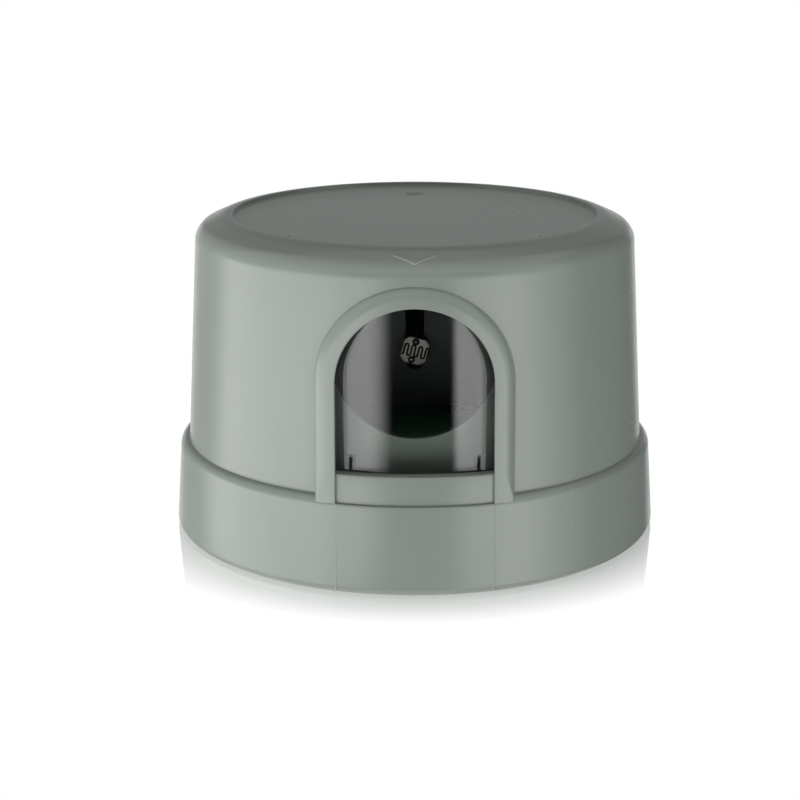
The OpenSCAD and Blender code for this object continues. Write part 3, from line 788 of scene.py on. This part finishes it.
class PHOTOCELL_OT_stage(PhotocellOperator, bpy.types.Operator):
    """Set up the camera, the floor and the light"""
    bl_idname = "photocell.stage"
    bl_label = "Stage"

    def make(self, scene):
        look = scene.photocell_stage
        scene.view_settings.view_transform = "Standard"
        self.camera(scene)
        self.world(scene, look)
        self.floor(look)
        self.softbox("softbox_left", (-118.0, -106.0, -26.0, -11.0), look.left, lean=0.2)
        self.softbox("softbox_right", (18.5, 24.0, 46.0, 78.0), look.right)
        back = self.softbox("softbox_back", (130.0, 142.0, 218.0, 230.0), look.back)
        back.visible_glossy = False
        # azimuth, distance, width, lower and upper edge, grey
        self.card("card_front", 0.0, 0.95, 1.6, -0.65, 0.65, 0.004)
        self.card("card_right", 116.0, 0.6, 0.8, -0.6, 0.6, 0.05)
        self.card("card_left", -134.0, 0.7, 0.42, -0.6, 0.6, 0.42)
        self.card("card_back", 180.0, 0.8, 2.4, 0.11, 1.245, 0.3)

    def camera(self, scene):
        data = bpy.data.cameras.new("view")
        data.lens, data.sensor_width = 84.2, 36.0
        data.shift_x, data.shift_y = -0.0185, -0.0296
        view = bpy.data.objects.new("view", data)
        scene.collection.objects.link(view)
        target, distance, rise = Vector((0.0, 0.0, 0.025)), 0.33, math.radians(15.03)
        view.location = target + distance * Vector((0.0, -math.cos(rise), math.sin(rise)))
        view.rotation_euler = (target - view.location).to_track_quat("-Z", "Y").to_euler()
        scene.camera = view

    def seen(self, tree):
        """1 for camera, glossy and transmission rays."""
        ray = node(tree, "ShaderNodeLightPath").outputs
        near = compute(tree, "MAXIMUM", ray["Is Camera Ray"], ray["Is Glossy Ray"])
        return compute(tree, "MAXIMUM", near, ray["Is Transmission Ray"])

    def world(self, scene, look):
        """White where it is seen, and an even fill light."""
        world = bpy.data.worlds.new("studio")
        scene.world = world
        tree = empty_tree(world)
        fill, white = (node(tree, "ShaderNodeBackground", {"Color": WHITE, "Strength": strength})
                       for strength in (look.fill, 1.0))
        both = mix_shaders(tree, self.seen(tree), fill.outputs[0], white.outputs[0])
        link(tree, both, node(tree, "ShaderNodeOutputWorld").inputs["Surface"])

    def floor(self, look):
        """White floor with a mirror image that fades outwards, clear from below."""
        bm = bmesh.new()
        bmesh.ops.create_circle(bm, cap_ends=True, segments=128, radius=look.floor)
        material = bpy.data.materials.new("floor_white")
        tree = empty_tree(material)
        matt = node(tree, "ShaderNodeBsdfDiffuse", {"Color": (0.8, 0.8, 0.8, 1.0)})
        shade = node(tree, "ShaderNodeBsdfDiffuse", {"Color": (0.5, 0.5, 0.5, 1.0)})
        lit = node(tree, "ShaderNodeEmission", {"Color": WHITE, "Strength": 0.93})
        gloss = node(tree, "ShaderNodeBsdfGlossy", {"Color": WHITE, "Roughness": 0.0})
        clear = node(tree, "ShaderNodeBsdfTransparent")
        plain = node(tree, "ShaderNodeAddShader")
        link(tree, shade.outputs[0], plain.inputs[0])
        link(tree, lit.outputs[0], plain.inputs[1])
        radius = node(tree, "ShaderNodeVectorMath", operation="LENGTH")
        link(tree, node(tree, "ShaderNodeTexCoord").outputs["Object"], radius.inputs[0])
        fade = node(tree, "ShaderNodeMapRange", {"From Min": look.sheen_end, "From Max": SKIRT_R})
        link(tree, radius.outputs["Value"], fade.inputs["Value"])
        level = compute(tree, "MULTIPLY", fade.outputs["Result"], look.sheen)
        shine = mix_shaders(tree, level, plain.outputs[0], gloss.outputs[0])
        above = mix_shaders(tree, self.seen(tree), matt.outputs[0], shine)
        below = node(tree, "ShaderNodeNewGeometry").outputs["Backfacing"]
        surface = mix_shaders(tree, below, above, clear.outputs[0])
        link(tree, surface, node(tree, "ShaderNodeOutputMaterial").inputs["Surface"])
        material.cycles.emission_sampling = "NONE"
        floor = add_object("floor", bm, material)
        floor.visible_shadow = floor.visible_glossy = False

    def softbox(self, name, angles, brightness, lean=0.0):
        """Area light as the window sees it: dark at the outer two of the four angles from -Y, full
        between the inner two, and brighter by the share lean towards the last one."""
        first, rise, fall, last = (math.radians(a) for a in angles)
        middle, half = (first + last) / 2, (last - first) / 2
        width, tall = 2 * SOFTBOX_FAR * math.tan(half), SOFTBOX_HIGH - SOFTBOX_LOW
        data = bpy.data.lights.new(name, "AREA")
        data.shape, data.size, data.size_y = "RECTANGLE", width, tall
        data.energy = brightness * math.pi * width * tall
        tree = empty_tree(data)
        across = node(tree, "ShaderNodeSeparateXYZ")
        spot = node(tree, "ShaderNodeNewGeometry").outputs["Parametric"]
        link(tree, spot, across.inputs[0])
        slope = node(tree, "ShaderNodeMapRange", {"To Min": 1.0 - lean, "To Max": 1.0 + lean})
        link(tree, across.outputs["X"], slope.inputs["Value"])
        level = slope.outputs["Result"]
        for start, end in ((first, rise), (last, fall)):
            ramp = node(tree, "ShaderNodeMapRange", interpolation_type="SMOOTHSTEP")
            for socket, angle in (("From Min", start), ("From Max", end)):
                share = math.tan(angle - middle) / math.tan(half)
                ramp.inputs[socket].default_value = 0.5 + 0.5 * share
            link(tree, across.outputs["X"], ramp.inputs["Value"])
            level = compute(tree, "MULTIPLY", level, ramp.outputs["Result"])
        glow = node(tree, "ShaderNodeEmission")
        link(tree, level, glow.inputs["Strength"])
        link(tree, glow.outputs[0], node(tree, "ShaderNodeOutputLight").inputs["Surface"])
        lamp = bpy.data.objects.new(name, data)
        bpy.context.scene.collection.objects.link(lamp)
        aim = Vector((math.sin(middle), -math.cos(middle), 0.0))
        centre = Vector((0.0, SOFTBOX_AIM, (SOFTBOX_LOW + SOFTBOX_HIGH) / 2))
        lamp.location = centre + SOFTBOX_FAR * aim
        lamp.rotation_euler = aim.to_track_quat("Z", "Y").to_euler()
        lamp.visible_camera = False
        return lamp

    def card(self, name, azimuth, distance, width, low, high, grey):
        """Upright card at an angle from -Y that only reflections and clear parts see; it is white
        in the floor's mirror."""
        bm = bmesh.new()
        bmesh.ops.create_grid(bm, x_segments=1, y_segments=1, size=0.5)
        bmesh.ops.scale(bm, vec=(width, high - low, 1.0), verts=bm.verts)
        matrix = (Matrix.Rotation(math.radians(azimuth), 4, "Z")
                  @ Matrix.Translation((0.0, -distance, (low + high) / 2))
                  @ Matrix.Rotation(math.radians(90.0), 4, "X"))
        bmesh.ops.transform(bm, matrix=matrix, verts=bm.verts)
        material = bpy.data.materials.new(name)
        tree = empty_tree(material)
        glow = node(tree, "ShaderNodeEmission", {"Color": WHITE})
        level = node(tree, "ShaderNodeMapRange", {"To Min": grey, "To Max": 1.0})
        mirrored = node(tree, "ShaderNodeLightPath").outputs["Is Singular Ray"]
        link(tree, mirrored, level.inputs["Value"])
        link(tree, level.outputs["Result"], glow.inputs["Strength"])
        link(tree, glow.outputs[0], node(tree, "ShaderNodeOutputMaterial").inputs["Surface"])
        material.cycles.emission_sampling = "NONE"
        card = add_object(name, bm, material)
        card.visible_camera = card.visible_diffuse = card.visible_shadow = False


# ---------------------------------------------------------------- panel and start

OPERATORS = (PHOTOCELL_OT_stage, PHOTOCELL_OT_cover, PHOTOCELL_OT_window, PHOTOCELL_OT_plug,
             PHOTOCELL_OT_board)
GROUPS = {"photocell_cover": PhotocellCover, "photocell_window": PhotocellWindow,
          "photocell_inside": PhotocellInside, "photocell_stage": PhotocellStage}


class PHOTOCELL_PT_looks(bpy.types.Panel):
    """Lists the steps that dress the photocell switch"""
    bl_idname = "PHOTOCELL_PT_looks"
    bl_label = "Photocell switch"
    bl_space_type = "VIEW_3D"
    bl_region_type = "UI"
    bl_category = "Photocell"

    def draw(self, context):
        for step in OPERATORS:
            self.layout.operator(step.bl_idname)
        for name, group in GROUPS.items():
            box = self.layout.box()
            for entry in group.__annotations__:
                box.prop(getattr(context.scene, name), entry)


CLASSES = tuple(GROUPS.values()) + OPERATORS + (PHOTOCELL_PT_looks,)


def register():
    for entry in CLASSES:
        bpy.utils.register_class(entry)
    for name, group in GROUPS.items():
        setattr(bpy.types.Scene, name, PointerProperty(type=group))


def unregister():
    for name in GROUPS:
        delattr(bpy.types.Scene, name)
    for entry in reversed(CLASSES):
        bpy.utils.unregister_class(entry)


def main():
    register()
    bpy.ops.photocell.stage()
    bpy.ops.photocell.cover()
    bpy.ops.photocell.window()
    bpy.ops.photocell.plug()
    bpy.ops.photocell.board()


if __name__ == "__main__":
    main()
